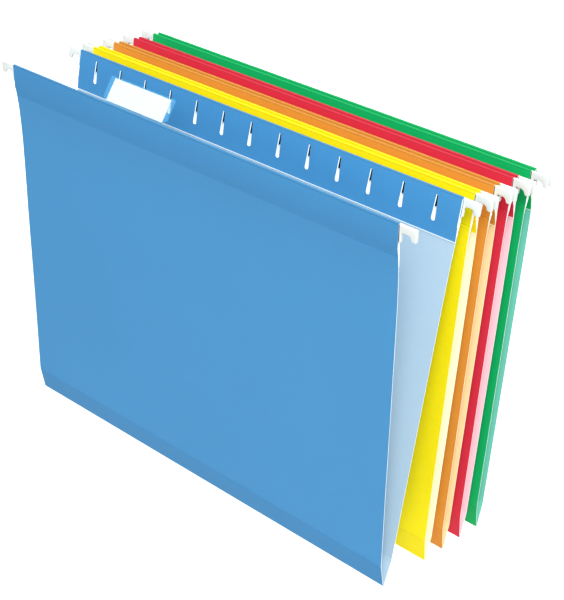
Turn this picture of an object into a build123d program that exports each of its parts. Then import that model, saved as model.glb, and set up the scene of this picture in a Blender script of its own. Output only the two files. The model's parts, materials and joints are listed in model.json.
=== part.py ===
"""Set of five letter-size hanging file folders: the first stands open with a labelled tab, four hang closed.

Millimetres. X runs along the rods, Y from the first folder to the last, Z up.
The origin is on the rail line, midway between the two hooks of the first folder's back rod.
"""
import os
from math import cos, pi, radians, sin

from build123d import *

# The set: one folder per colour, front to back
COLOURS = ["blue", "yellow", "orange", "red", "green"]
OPEN_LEAN = 6.0  # degrees that each leaf of the open first folder leans out
CLOSED_LEAN = 0.0  # degrees, the leaves of a closed folder hang straight
FIRST_STEP = 13.1  # from the first folder's back rod to the second folder's crease
FOLDER_STEP = 17.3  # from one closed folder's crease to the next

# The card leaves
WIDTH = 298.45  # along the rods
HEIGHT = 234.95  # from the crease to the fold over the rod
SHEET = 0.4  # card thickness
INSIDE_GAP = 5.8  # between the two leaves of a closed folder
FOOT = 16.0  # height of the slanting band beside the crease
CREASE_PLAY = 0.3  # between the two leaves at the crease

# The hem that wraps the rod, measured down from the fold
SLEEVE_DEPTH = 20.0  # loose part around the rod
HEM_TAPER = 2.2  # where the hem comes back to the leaf
GLUE_STRIP = 3.2  # where the hem is glued to the leaf

# The tab slots in the hem
SLOT_COUNT = 13
SLOT_MARGIN = 15.875  # from a side edge to the nearest slot
SLOT_DROP = 3.6  # from the fold to a slot's top
SLOT_LENGTH = 14.4
SLOT_TOP_WIDTH = 1.4
SLOT_FOOT_WIDTH = 2.8
SLOT_FOOT_FLATS = 4  # flats that make up a slot's round foot

# The flat steel rods and their hooks
ROD_THICKNESS = 0.9
ROD_HEIGHT = 9.5
ROD_PLAY = 0.15  # on each face of the rod inside the hem
ROD_SEAT = 0.3  # from the rod's top edge to the fold
HOOK_REACH = 11.1125  # past the leaf, with its coat
HOOK_ARM = 3.4  # height of the arm over the rail
HOOK_DROP = 6.4  # from the rod's top edge to the hook's tip
HOOK_SHOULDER = 1.0  # from the leaf's edge to the rail notch
HOOK_TIP_ROOT = 3.0  # width of the tip at the arm
HOOK_TIP_END = 1.9  # width of the tip at its lower end
HOOK_CHAMFER = 0.5  # on the hook's corners, under the coat

# The plastic coats on the hooks
COAT = 0.4
COAT_CHAMFER = 0.6  # on the coat's outer corners
NOTCH_RADIUS = 0.9  # in the corners of the coated rail notch
COAT_SETBACK = 0.3  # from the leaf's edge to the coat

# The tab and its paper label on the first folder's front leaf
TAB_SLOT_NUMBERS = {"left": 3, "right": 5}  # the tab's two slots, counted from the left end
TAB_OVERHANG = 3.7  # past each of its two slots
TAB_SHEET = 0.4
TAB_PLAY = 0.1  # between the tab and the card
TAB_HEIGHT = 15.0
TAB_LEAN = 36.0  # degrees back from the leaf
TAB_FOOT_DROP = 17.0  # from the fold down to the tab's lower edge
TAB_BEND_DROP = 0.5  # from the fold down to the tab's bend
LABEL_THICKNESS = 0.25
LABEL_PLAY = 0.125  # on each face of the label in the tab
LABEL_EDGE_PLAY = 0.3  # above and below the label in the tab
LABEL_SETBACK = 3.2  # from each end of the tab to the label
EAR_HEIGHT = 5.0
EAR_REACH = 4.0  # length behind the hem
EAR_NECK = 0.6  # width where an ear passes through its slot
EAR_DROP = 0.8  # from the rod's lower edge to an ear

# Places across a leaf, measured outward from the middle of its folder
LEAF_INNER = INSIDE_GAP / 2
LEAF_OUTER = LEAF_INNER + SHEET
SLEEVE_WIDTH = ROD_THICKNESS + 2 * ROD_PLAY
ROD_MIDDLE = LEAF_INNER - SLEEVE_WIDTH / 2
HEM_OUTER = LEAF_INNER - SLEEVE_WIDTH
HEM_INNER = HEM_OUTER - SHEET
CREASE_EDGE = CREASE_PLAY / 2

# Places up a leaf, measured from the crease
FOLD_MIDDLE = HEIGHT - SHEET - SLEEVE_WIDTH / 2
SLEEVE_FOOT = HEIGHT - SLEEVE_DEPTH
GLUE_TOP = SLEEVE_FOOT - HEM_TAPER
HEM_FOOT = GLUE_TOP - GLUE_STRIP
ROD_TOP = HEIGHT - SHEET - ROD_SEAT
ROD_FOOT = ROD_TOP - ROD_HEIGHT
RAIL_LINE = ROD_TOP - HOOK_ARM - COAT

# Places along the rods
SIDE_EDGE = WIDTH / 2
HOOK_END = SIDE_EDGE + HOOK_REACH - COAT
SLOT_PITCH = (WIDTH - 2 * SLOT_MARGIN) / (SLOT_COUNT - 1)

# Sides of a folder: the way that each leaf faces along Y
SIDES = {"front": -1, "back": 1}
ENDS = {"left": -1, "right": 1}


def slot_place(number):
    """Distance along X of a slot, counted from the left end."""
    return SLOT_MARGIN - SIDE_EDGE + number * SLOT_PITCH


# Places on the tab
TAB_REAR = HEM_INNER - TAB_PLAY - TAB_SHEET
TAB_MIDDLE = (slot_place(TAB_SLOT_NUMBERS["left"]) + slot_place(TAB_SLOT_NUMBERS["right"])) / 2
TAB_FOOT_WIDTH = slot_place(TAB_SLOT_NUMBERS["right"]) - slot_place(TAB_SLOT_NUMBERS["left"]) + EAR_NECK
TAB_WIDTH = TAB_FOOT_WIDTH + 2 * TAB_OVERHANG
LABEL_ROOM = LABEL_THICKNESS + 2 * LABEL_PLAY
EAR_REAR = HEM_OUTER + TAB_PLAY
EAR_FOOT = ROD_FOOT - EAR_DROP - EAR_HEIGHT


def folder_lean(number):
    """Degrees that the leaves of a folder lean out."""
    return OPEN_LEAN if number == 0 else CLOSED_LEAN


def crease_point(number):
    """Place of a folder's crease: its rods' hooks then rest at height zero."""
    lean = radians(folder_lean(number))
    drop = RAIL_LINE * cos(lean) - ROD_MIDDLE * sin(lean)
    if number == 0:
        return Vector(0, -RAIL_LINE * sin(lean) - ROD_MIDDLE * cos(lean), -drop)
    return Vector(0, FIRST_STEP + (number - 1) * FOLDER_STEP, -drop)


def leaf_directions(number, side):
    """Outward and upward directions of one leaf."""
    lean = radians(folder_lean(number))
    outward = Vector(0, SIDES[side] * cos(lean), -sin(lean))
    upward = Vector(0, SIDES[side] * sin(lean), cos(lean))
    return outward, upward


def profile_plane(number, side):
    """Plane across the leaf: outward from the folder's middle, and up from the crease."""
    outward, _ = leaf_directions(number, side)
    return Plane(origin=crease_point(number), x_dir=outward, z_dir=(SIDES[side], 0, 0))


def face_plane(number, side, out):
    """Plane along the leaf at a distance out from the folder's middle: along X, and up from the crease."""
    outward, upward = leaf_directions(number, side)
    along = Vector(1, 0, 0)
    return Plane(origin=crease_point(number) + outward * out, x_dir=along, z_dir=along.cross(upward))


def save(piece, label):
    """Name a finished piece and write it out."""
    piece.part.label = label
    export_step(piece.part, f"parts/{label}.step")


def make_leaf(number, side):
    """Half of the folded card, from the crease up over the rod and down inside as a slotted hem."""
    with BuildPart() as leaf:
        with BuildSketch(profile_plane(number, side)):
            with BuildLine():
                Polyline(
                    (CREASE_EDGE, 0),
                    (LEAF_INNER, FOOT),
                    (LEAF_INNER, HEM_FOOT),
                    (LEAF_INNER - SHEET, HEM_FOOT),
                    (LEAF_INNER - SHEET, GLUE_TOP),
                    (HEM_INNER, SLEEVE_FOOT),
                    (HEM_INNER, FOLD_MIDDLE),
                )
                ThreePointArc((HEM_INNER, FOLD_MIDDLE), (ROD_MIDDLE, HEIGHT), (LEAF_OUTER, FOLD_MIDDLE))
                Polyline(
                    (LEAF_OUTER, FOLD_MIDDLE),
                    (LEAF_OUTER, FOOT),
                    (CREASE_EDGE + SHEET, 0),
                    (CREASE_EDGE, 0),
                )
            make_face()
            with BuildLine():
                Polyline(
                    (LEAF_INNER, FOLD_MIDDLE),
                    (LEAF_INNER, GLUE_TOP),
                    (HEM_OUTER, SLEEVE_FOOT),
                    (HEM_OUTER, FOLD_MIDDLE),
                )
                ThreePointArc(
                    (HEM_OUTER, FOLD_MIDDLE), (ROD_MIDDLE, HEIGHT - SHEET), (LEAF_INNER, FOLD_MIDDLE)
                )
            make_face(mode=Mode.SUBTRACT)
        extrude(amount=SIDE_EDGE, both=True)
        with BuildSketch(face_plane(number, side, HEM_INNER)):
            with Locations(*[(slot_place(slot), HEIGHT - SLOT_DROP) for slot in range(SLOT_COUNT)]):
                add(slot_outline())
        extrude(amount=SHEET + ROD_PLAY, both=True, mode=Mode.SUBTRACT)
    save(leaf, f"{COLOURS[number]}_{side}_leaf")


def slot_outline():
    """Outline of a tab slot hanging from its top: narrow above, widening to a round foot of a few flats."""
    radius = SLOT_FOOT_WIDTH / 2
    turns = [pi * step / SLOT_FOOT_FLATS for step in range(SLOT_FOOT_FLATS + 1)]
    foot = [(radius * cos(turn), radius - SLOT_LENGTH - radius * sin(turn)) for turn in turns]
    with BuildSketch() as slot:
        with BuildLine():
            Polyline((-SLOT_TOP_WIDTH / 2, 0), (SLOT_TOP_WIDTH / 2, 0), *foot, close=True)
        make_face()
    return slot.sketch


def half_rod_outline():
    """Outline of the right half of a rod, with its hook over the rail, before its corners are eased."""
    notch_start = SIDE_EDGE + HOOK_SHOULDER
    notch_roof = ROD_TOP - HOOK_ARM
    tip_foot = ROD_TOP - HOOK_DROP
    with BuildSketch() as half_rod:
        with BuildLine():
            Polyline(
                (0, ROD_FOOT),
                (notch_start, ROD_FOOT),
                (notch_start, notch_roof),
                (HOOK_END - HOOK_TIP_ROOT, notch_roof),
                (HOOK_END - HOOK_TIP_END, tip_foot),
                (HOOK_END, tip_foot),
                (HOOK_END, ROD_TOP),
                (0, ROD_TOP),
                close=True,
            )
        make_face()
    return half_rod.sketch


def past_leaf(corner):
    """Whether a corner of an outline lies out on the hook, past the rod's shoulder."""
    return corner.X > SIDE_EDGE + HOOK_SHOULDER - COAT


def make_rod(number, side):
    """Flat steel rod in the hem, with a hook at each end."""
    with BuildPart() as rod:
        with BuildSketch(face_plane(number, side, ROD_MIDDLE)) as outline:
            add(half_rod_outline())
            chamfer(outline.vertices().filter_by(past_leaf), HOOK_CHAMFER)
            mirror(about=Plane.YZ)
        extrude(amount=ROD_THICKNESS / 2, both=True)
    save(rod, f"{COLOURS[number]}_{side}_rod")
    return rod.part


def make_hook_coat(number, side, end, rod):
    """Plastic coat around one hook, open where the rod enters it."""
    with BuildPart() as coat:
        with BuildSketch(face_plane(number, side, ROD_MIDDLE)) as outline:
            add(half_rod_outline())
            offset(amount=COAT, kind=Kind.INTERSECTION)
            with Locations((SIDE_EDGE + COAT_SETBACK, ROD_FOOT - COAT)):
                Rectangle(HOOK_REACH, ROD_HEIGHT + 2 * COAT, align=Align.MIN, mode=Mode.INTERSECT)
            fillet(outline.vertices().filter_by(past_leaf).group_by(Axis.Y)[-2], NOTCH_RADIUS)
            levels = outline.vertices().filter_by(past_leaf).group_by(Axis.Y)
            chamfer(levels[0] + levels[1] + levels[-1], COAT_CHAMFER)
            if ENDS[end] < 0:
                mirror(about=Plane.YZ, mode=Mode.REPLACE)
        extrude(amount=ROD_THICKNESS / 2 + COAT, both=True)
        add(rod, mode=Mode.SUBTRACT)
    save(coat, f"{COLOURS[number]}_{side}_hook_coat_{end}")


def tab_profile_plane(number, side):
    """Plane across the leaf at the middle of the tab."""
    plane = profile_plane(number, side)
    plane.origin += Vector(TAB_MIDDLE, 0, 0)
    return plane


def tab_panel_plane(number, side):
    """Plane across the leaning tab panel: forward from its rear face, and up from its bend."""
    leaf = tab_profile_plane(number, side)
    bend = leaf.from_local_coords((TAB_REAR, HEIGHT - TAB_BEND_DROP))
    lean = radians(TAB_LEAN)
    return Plane(origin=bend, x_dir=leaf.x_dir * cos(lean) + leaf.y_dir * sin(lean), z_dir=leaf.z_dir)


def make_tab_holder(number, side):
    """Clear tab: a leaning sleeve for the label, a foot on the hem and two ears tucked through slots."""
    with BuildPart() as tab_holder:
        with BuildSketch(tab_panel_plane(number, side)):
            Rectangle(LABEL_ROOM + 2 * TAB_SHEET, TAB_HEIGHT, align=Align.MIN)
            with Locations((TAB_SHEET, TAB_SHEET)):
                Rectangle(LABEL_ROOM, TAB_HEIGHT - 2 * TAB_SHEET, align=Align.MIN, mode=Mode.SUBTRACT)
        extrude(amount=TAB_WIDTH / 2, both=True)
        with BuildSketch(tab_profile_plane(number, side)):
            with Locations((TAB_REAR, HEIGHT - TAB_FOOT_DROP)):
                Rectangle(TAB_SHEET, TAB_FOOT_DROP - TAB_BEND_DROP + TAB_SHEET, align=Align.MIN)
        extrude(amount=TAB_FOOT_WIDTH / 2, both=True)
        with BuildSketch(face_plane(number, side, TAB_REAR)):
            for slot in TAB_SLOT_NUMBERS.values():
                with Locations((slot_place(slot), EAR_FOOT)):
                    Rectangle(EAR_NECK, EAR_HEIGHT, align=(Align.CENTER, Align.MIN))
        extrude(amount=EAR_REAR + TAB_SHEET - TAB_REAR)
        with BuildSketch(face_plane(number, side, EAR_REAR)):
            for end, slot in TAB_SLOT_NUMBERS.items():
                with Locations((slot_place(slot) + ENDS[end] * (EAR_REACH - EAR_NECK) / 2, EAR_FOOT)):
                    Rectangle(EAR_REACH, EAR_HEIGHT, align=(Align.CENTER, Align.MIN))
        extrude(amount=TAB_SHEET)
    save(tab_holder, f"{COLOURS[number]}_tab_holder")


def make_label_insert(number, side):
    """Paper strip that slides sideways into the tab's sleeve."""
    edge = TAB_SHEET + LABEL_EDGE_PLAY
    with BuildPart() as label_insert:
        with BuildSketch(tab_panel_plane(number, side)):
            with Locations((TAB_SHEET + LABEL_PLAY, edge)):
                Rectangle(LABEL_THICKNESS, TAB_HEIGHT - 2 * edge, align=Align.MIN)
        extrude(amount=TAB_WIDTH / 2 - LABEL_SETBACK, both=True)
    save(label_insert, f"{COLOURS[number]}_label_insert")


os.makedirs("parts", exist_ok=True)
for place in range(len(COLOURS)):
    for facing in SIDES:
        make_leaf(place, facing)
        steel = make_rod(place, facing)
        for hand in ENDS:
            make_hook_coat(place, facing, hand, steel)
make_tab_holder(0, "front")
make_label_insert(0, "front")
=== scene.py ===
# %% [markdown]
# # A set of hanging file folders
# Five folders of dyed card hang one behind another. Each is a single sheet, creased at its foot, and both
# of its top edges are folded over flat steel rods that end in white plastic hooks. The first folder
# stands open and carries a clear tab with a paper label.
# The solids are loaded first. They give the sizes and places of everything below, and nothing here moves
# them.

# %% Load the solids
import json
import math
from itertools import product

import bmesh
import bpy
from mathutils import Matrix, Vector


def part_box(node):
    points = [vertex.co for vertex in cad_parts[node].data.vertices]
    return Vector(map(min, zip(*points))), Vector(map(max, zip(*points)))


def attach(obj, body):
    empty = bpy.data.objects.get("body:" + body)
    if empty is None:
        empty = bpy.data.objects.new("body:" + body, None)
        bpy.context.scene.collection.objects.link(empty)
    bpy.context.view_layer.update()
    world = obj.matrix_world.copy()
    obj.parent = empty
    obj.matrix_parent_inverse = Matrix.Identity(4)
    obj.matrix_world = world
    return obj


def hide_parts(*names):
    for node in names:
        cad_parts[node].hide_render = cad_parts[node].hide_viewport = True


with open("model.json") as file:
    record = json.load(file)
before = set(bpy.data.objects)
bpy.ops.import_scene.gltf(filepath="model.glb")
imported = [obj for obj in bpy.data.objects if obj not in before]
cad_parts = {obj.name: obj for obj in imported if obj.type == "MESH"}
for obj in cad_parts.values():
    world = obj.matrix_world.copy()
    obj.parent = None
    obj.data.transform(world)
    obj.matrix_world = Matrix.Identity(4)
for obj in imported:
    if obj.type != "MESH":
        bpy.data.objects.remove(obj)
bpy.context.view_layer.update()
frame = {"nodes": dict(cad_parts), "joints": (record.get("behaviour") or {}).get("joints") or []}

# %% [markdown]
# ## Sizes
# Blender works in metres, and small goods are easier to think of in millimetres, so one value turns one
# into the other. A leaf is measured in its own way: outward from the middle of its folder, and up from
# its crease. The yellow folder hangs straight, so its boxes give those measures with no slant to take
# out. A back leaf is a front leaf turned half round, so each side has a turn.

# %% Measure a leaf and a rod
MM = 0.001
COLOURS = ("blue", "yellow", "orange", "red", "green")
OPEN_COLOUR = COLOURS[0]
SIDE_TURNS = {"front": 0.0, "back": math.pi}


def in_mm(*lengths):
    """Lengths in millimetres, rounded for printing."""
    return [round(length / MM, 2) for length in lengths]


joints = {joint["name"]: joint for joint in frame["joints"]}
open_joint = joints[f"{OPEN_COLOUR}_open"]
creases = {colour: Vector(joints[f"{colour}_front_open"]["pos_m"]) for colour in COLOURS[1:]}
creases[OPEN_COLOUR] = Vector(open_joint["pos_m"])
# The hinge shuts the folder by turning back the lean of both its leaves
OPEN_LEAN = -math.radians(open_joint["range_deg"][0]) / 2

leaf_low, leaf_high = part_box("yellow_front_leaf")
rod_low, rod_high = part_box("yellow_front_rod")
WIDTH = leaf_high.x - leaf_low.x
HEIGHT = leaf_high.z - creases["yellow"].z
LEAF_OUTER = creases["yellow"].y - leaf_low.y
ROD_MIDDLE = creases["yellow"].y - (rod_low.y + rod_high.y) / 2
print("leaf", in_mm(WIDTH, HEIGHT), "mm, leaning", round(math.degrees(OPEN_LEAN), 1), "degrees")

# %% [markdown]
# ## Camera
# A camera is easiest to set as a photographer would: choose the point to look at, go round it and up,
# step back, then tip the camera a little. The turn matrix has the camera's right, up and backward
# directions as its columns. The lens and the sensor are in millimetres, as Blender takes them.

# %% Set the camera
CAMERA_AIM = Vector((47.35, -16.94, -89.35)) * MM
CAMERA_AROUND = math.radians(40.189)
CAMERA_UP = math.radians(26.368)
CAMERA_TIP = math.radians(4.936)
CAMERA_DISTANCE = 862.75 * MM
CAMERA_LENS = 60.2
CAMERA_SENSOR = 24.0

backward = Vector((0, -1, 0))
backward.rotate(Matrix.Rotation(-CAMERA_UP, 3, "X"))
backward.rotate(Matrix.Rotation(CAMERA_AROUND, 3, "Z"))
rightward = Vector((math.cos(CAMERA_AROUND), math.sin(CAMERA_AROUND), 0))
upward = backward.cross(rightward)
turn = Matrix((rightward, upward, backward)).transposed() @ Matrix.Rotation(CAMERA_TIP, 3, "Z")

camera_data = bpy.data.cameras.new("camera")
camera_data.sensor_fit = "VERTICAL"
camera_data.sensor_height = CAMERA_SENSOR
camera_data.lens = CAMERA_LENS
camera = bpy.data.objects.new("camera", camera_data)
camera.matrix_world = Matrix.LocRotScale(CAMERA_AIM + backward * CAMERA_DISTANCE, turn, None)
bpy.context.scene.collection.objects.link(camera)
bpy.context.scene.camera = camera
print("camera at", in_mm(*camera.location), "mm")

# %% [markdown]
# ## Shared helpers for finishes
# Colours are written as a painter would pick them on screen, in sRGB hex, and a shader takes linear
# light, so one function turns one into the other. Another adds a node to a material: its settings by
# name, and for each input a link or a plain value. The shader that a new material starts with gets its
# inputs in the same way. Each pattern's scale is one over the size of its features.

# %% Colour, node and scale helpers
# Layers of ever finer noise in a pattern
SOFT_DETAIL, PLAIN_DETAIL, FINE_DETAIL = 1.0, 2.0, 3.0


def linear(hex_colour):
    """Linear red, green, blue and alpha of an sRGB hex colour."""
    channels = [int(hex_colour[place:place + 2], 16) / 255 for place in (1, 3, 5)]
    light = [value / 12.92 if value <= 0.04045 else ((value + 0.055) / 1.055) ** 2.4 for value in channels]
    return (*light, 1.0)


def fill_inputs(tree, node, inputs):
    """Give each named input of a node a link or a plain value."""
    for name, value in inputs.items():
        if isinstance(value, bpy.types.NodeSocket):
            tree.links.new(value, node.inputs[name])
        else:
            node.inputs[name].default_value = value


def add_node(tree, kind, inputs=(), **settings):
    """Add one node with its settings, and give its inputs their links and values."""
    node = tree.nodes.new(kind)
    for name, value in settings.items():
        setattr(node, name, value)
    fill_inputs(tree, node, dict(inputs))
    return node


def per_size(size):
    """Scale of a pattern whose features are of this size."""
    return 1 / size


def new_finish(name):
    """An empty material, with its node tree and its one shader."""
    finish = bpy.data.materials.new(name)
    finish.use_nodes = True
    return finish, finish.node_tree, finish.node_tree.nodes["Principled BSDF"]


print("white is", linear("#FFFFFF"))

# %% [markdown]
# ## Dyed card
# The folders are heavy dyed paper board, calendered flat: matt, with a fine felt-like tooth and fibres
# that lie mostly along the rods, because that is the way the board ran through the mill. Close up the dye
# is uneven in two ways: fibres take it more or less, and the whole sheet clouds softly. A painted image
# could show that, but noise has no seams and no end. It is stretched along X for the fibres. Real fibres
# are about 0.03 mm wide, too fine to show, so they are drawn about 1 mm wide, and the tooth is drawn half
# as wide.
# A deeper layer of dye takes away light again and again, and so its colour is the plain one raised to a
# power: a blue grows darker and fuller, and a yellow hardly changes. Here that power paints shade into
# some tones of the card.

# %% Dye of the card
FIBRE_WIDTH = 0.9 * MM
FIBRE_STRETCH_SHARE = 0.22
FIBRE_ROUGHNESS = 0.6
CLOUD_SIZE = 70.0 * MM
CLOUD_SHARE = 0.3
# Noise keeps mostly between these two values, so they are spread over the whole range
NOISE_LOW, NOISE_HIGH = 0.3, 0.7


def dyed(hex_colour, shade_power, share):
    """Linear colour of dyed card: raised to a power that paints shade, then lightened or darkened by a
    share.
    """
    return (*[min(value ** shade_power * share, 1.0) for value in linear(hex_colour)[:3]], 1.0)


def card_fibres(tree, place):
    """Noise that is stretched along the rods, as the fibres lie."""
    along = add_node(tree, "ShaderNodeMapping", {"Vector": place, "Scale": (FIBRE_STRETCH_SHARE, 1, 1)})
    fibres = add_node(
        tree,
        "ShaderNodeTexNoise",
        {
            "Vector": along.outputs["Vector"],
            "Scale": per_size(FIBRE_WIDTH),
            "Detail": FINE_DETAIL,
            "Roughness": FIBRE_ROUGHNESS,
        },
    )
    return fibres.outputs["Fac"]


def card_dye(tree, place, fibres, dark, light):
    """Colour that goes from dark to light with the fibres and with soft clouds over the whole sheet."""
    clouds = add_node(
        tree, "ShaderNodeTexNoise", {"Vector": place, "Scale": per_size(CLOUD_SIZE), "Detail": PLAIN_DETAIL}
    )
    uneven = add_node(
        tree,
        "ShaderNodeMix",
        {"Factor": CLOUD_SHARE, "A": fibres, "B": clouds.outputs["Fac"]},
        data_type="FLOAT",
    )
    spread = add_node(
        tree,
        "ShaderNodeMapRange",
        {"Value": uneven.outputs["Result"], "From Min": NOISE_LOW, "From Max": NOISE_HIGH},
    )
    dye = add_node(
        tree, "ShaderNodeMix", {"Factor": spread.outputs["Result"], "A": dark, "B": light}, data_type="RGBA"
    )
    return dye.outputs["Result"]


print("fibres", in_mm(FIBRE_WIDTH, FIBRE_WIDTH / FIBRE_STRETCH_SHARE), "mm, clouds", in_mm(CLOUD_SIZE), "mm")

# %% Card finish
TOOTH_SIZE = 0.5 * MM
TOOTH_DEPTH = 0.03 * MM
TOOTH_STRENGTH = 0.35
CARD_SMOOTHEST, CARD_ROUGHEST = 0.56, 0.7
CARD_IOR = 1.46
CARD_SPECULAR = 0.2


def card_finish(name, hex_colour, fibre_share, shade_power=1.0, painted_shade_share=1.0):
    """Matt dyed card: uneven fibres, soft clouds and a fine tooth that breaks up the gloss. A power and a
    share paint shade into its tone.
    """
    finish, tree, shader = new_finish(name)
    place = add_node(tree, "ShaderNodeTexCoord").outputs["Object"]
    fibres = card_fibres(tree, place)
    dark = dyed(hex_colour, shade_power, painted_shade_share * (1 - fibre_share))
    light = dyed(hex_colour, shade_power, painted_shade_share * (1 + fibre_share))
    matt = add_node(
        tree,
        "ShaderNodeMapRange",
        {
            "Value": fibres,
            "From Min": NOISE_LOW,
            "From Max": NOISE_HIGH,
            "To Min": CARD_SMOOTHEST,
            "To Max": CARD_ROUGHEST,
        },
    )
    tooth = add_node(
        tree, "ShaderNodeTexNoise", {"Vector": place, "Scale": per_size(TOOTH_SIZE), "Detail": PLAIN_DETAIL}
    )
    relief = add_node(
        tree,
        "ShaderNodeBump",
        {"Height": tooth.outputs["Fac"], "Strength": TOOTH_STRENGTH, "Distance": TOOTH_DEPTH},
    )
    looks = {
        "Base Color": card_dye(tree, place, fibres, dark, light),
        "Roughness": matt.outputs["Result"],
        "Normal": relief.outputs["Normal"],
        "IOR": CARD_IOR,
        "Specular IOR Level": CARD_SPECULAR,
    }
    fill_inputs(tree, shader, looks)
    return finish


print("tooth", in_mm(TOOTH_SIZE, TOOTH_DEPTH), "mm")

# %% [markdown]
# ## The tones of five cards
# A sheet has a deep tone outside, a pale tone inside and a nearly white cut edge. The card inside the rod
# pocket, which shows in the slots, gets a fourth tone, nearly white: painted light that lifts the shade in
# the slots. The foot and the band at the top get a deeper dye, which is painted shade, and the hem inside
# the band takes the band's tone. The fold over the rod catches the top light, so its tone is a plain share
# of the outside one, painted shade that takes back that highlight. One finish with painted borders could
# hold all of these, but the borders are edges of the sheet, so a finish for each is simpler.

# %% Finishes of the five cards
# Outside, inside and cut edge of each card
CARD_TONES = {
    "blue": ("#4387B8", "#A0B9C9", "#DCEBF4"),
    "yellow": ("#F0DB0C", "#F6EFCB", "#FBF5CF"),
    "orange": ("#CE8A36", "#F0D3A0", "#FAE6C0"),
    "red": ("#CB2E42", "#EFC6CE", "#F8DDE3"),
    "green": ("#08A85C", "#6FC4AF", "#CDE9DF"),
}
# Near white for the card inside the rod pocket: painted light that lifts the shade in the slots
POCKET_PAINTED_LIGHT_TONE = "#FDFEFE"
# Deeper dye that paints shade on the foot, and on the band with its hem
FOOT_PAINTED_SHADE_DEPTH, BAND_PAINTED_SHADE_DEPTH = 1.045, 1.05
# Share of the outside tone that paints shade on the fold, taking back the highlight of the top light
FOLD_PAINTED_SHADE_SHARE = 0.62
# How far the fibres lighten and darken each tone
OUTSIDE_SHARE, INSIDE_SHARE, EDGE_SHARE = 0.04, 0.025, 0.05

# The card inside the rod pocket gets a painted light finish
pocket_card_painted_light = card_finish("card_in_rod_pocket_painted_light", POCKET_PAINTED_LIGHT_TONE, INSIDE_SHARE)
card_finishes = {}
for colour, (outside, inside, edge) in CARD_TONES.items():
    card_finishes[colour] = (
        card_finish(f"{colour}_dyed_card_outside", outside, OUTSIDE_SHARE),
        card_finish(f"{colour}_dyed_card_inside", inside, INSIDE_SHARE),
        card_finish(f"{colour}_card_cut_edge", edge, EDGE_SHARE),
        pocket_card_painted_light,
        # The foot, band and fold finishes below paint shade into the outside tone
        card_finish(f"{colour}_card_foot_painted_shade", outside, OUTSIDE_SHARE, FOOT_PAINTED_SHADE_DEPTH),
        card_finish(f"{colour}_card_band_painted_shade", outside, OUTSIDE_SHARE, BAND_PAINTED_SHADE_DEPTH),
        card_finish(f"{colour}_card_fold_painted_shade", outside, OUTSIDE_SHARE, painted_shade_share=FOLD_PAINTED_SHADE_SHARE),
    )
# Places of these finishes in the list of a leaf
tone_places = range(len(card_finishes[OPEN_COLOUR]))
# The pocket tone is painted light, and the foot, band and fold tones are painted shade
OUTSIDE, INSIDE, CUT_EDGE, POCKET_PAINTED_LIGHT, FOOT_PAINTED_SHADE, BAND_PAINTED_SHADE, FOLD_PAINTED_SHADE = tone_places
print("card finishes", len(tone_places), "for each of", len(card_finishes), "cards")

# %% [markdown]
# ## Helpers for modelling by hand
# An operator acts on all that is selected, so every piece starts with nothing selected. In edit mode,
# points are picked by their place, which is what a modeller does with the mouse. What is picked is then
# pulled out to the next place, as one would press E and drag.

# %% Helpers to start and finish a piece
# Turn that stands a flat primitive up to face forward
UPRIGHT = (math.pi / 2, 0, 0)


def start_piece():
    """Leave edit mode with nothing selected, ready for a new primitive."""
    if bpy.context.object and bpy.context.object.mode == "EDIT":
        bpy.ops.object.mode_set(mode="OBJECT")
    bpy.ops.object.select_all(action="DESELECT")


def name_piece(name):
    """Name the primitive just added."""
    piece = bpy.context.object
    piece.name = name
    bpy.ops.object.transform_apply(location=True, rotation=True, scale=True)
    return piece


def apply_modifier(piece, kind, name, **settings):
    """Add one modifier to a piece and apply it."""
    modifier = piece.modifiers.new(name, kind)
    for key, value in settings.items():
        setattr(modifier, key, value)
    bpy.context.view_layer.objects.active = piece
    bpy.ops.object.modifier_apply(modifier=name)


# %% Helpers to pick and pull
TOUCH = 0.01 * MM


def open_mesh(piece, kind):
    """The mesh of a piece in edit mode with nothing selected, ready for picking points or edges."""
    bpy.ops.object.mode_set(mode="EDIT")
    bpy.ops.mesh.select_mode(type=kind)
    bpy.ops.mesh.select_all(action="DESELECT")
    return bmesh.from_edit_mesh(piece.data)


def pick(piece, test):
    """Select just the points whose place passes the test, with the edges and faces between them."""
    mesh = open_mesh(piece, "VERT")
    for point in mesh.verts:
        point.select = test(point.co)
    mesh.select_flush(True)
    bmesh.update_edit_mesh(piece.data)


def pick_all(piece):
    """Select the whole mesh of a piece."""
    pick(piece, lambda place: True)


def pick_row(piece, height):
    """Select the row of points at one height."""
    pick(piece, lambda place: abs(place.z - height) < TOUCH)


def pick_edges(piece, test):
    """Select just the edges that pass the test."""
    mesh = open_mesh(piece, "EDGE")
    for edge in mesh.edges:
        edge.select = test(edge)
    bmesh.update_edit_mesh(piece.data)


def pull(step):
    """Extrude what is selected by a step."""
    bpy.ops.mesh.extrude_region_move(TRANSFORM_OT_translate={"value": step})


print("points closer than", in_mm(TOUCH), "mm count as one place")

# %% [markdown]
# ## The tab slots
# Thirteen keyhole slots are punched through the hem, narrow above and round below. They could be drawn
# into the sheet point by point, but a punch is closer to how they are made: one cutter, repeated along
# the hem and taken away from the sheet. A tapered plane whose two lower corners are rounded gives the
# drop shape. The punch tears the dyed skin of the card a little, so every slot has a narrow pale rim. It
# is bevelled into the hem later, and the punch is smaller than the slot by that rim.

# %% Sizes of a slot and its punch
SLOT_COUNT = 13
SLOT_MARGIN = 15.875 * MM
SLOT_DROP = 3.6 * MM
SLOT_LENGTH = 14.4 * MM
SLOT_TOP_WIDTH = 1.4 * MM
SLOT_FOOT_WIDTH = 2.8 * MM
SLOT_RIM = 0.28 * MM
SLOT_PITCH = (WIDTH - 2 * SLOT_MARGIN) / (SLOT_COUNT - 1)
FIRST_SLOT = SLOT_MARGIN - WIDTH / 2
SLOT_MIDDLE = HEIGHT - SLOT_DROP - SLOT_LENGTH / 2

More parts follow.
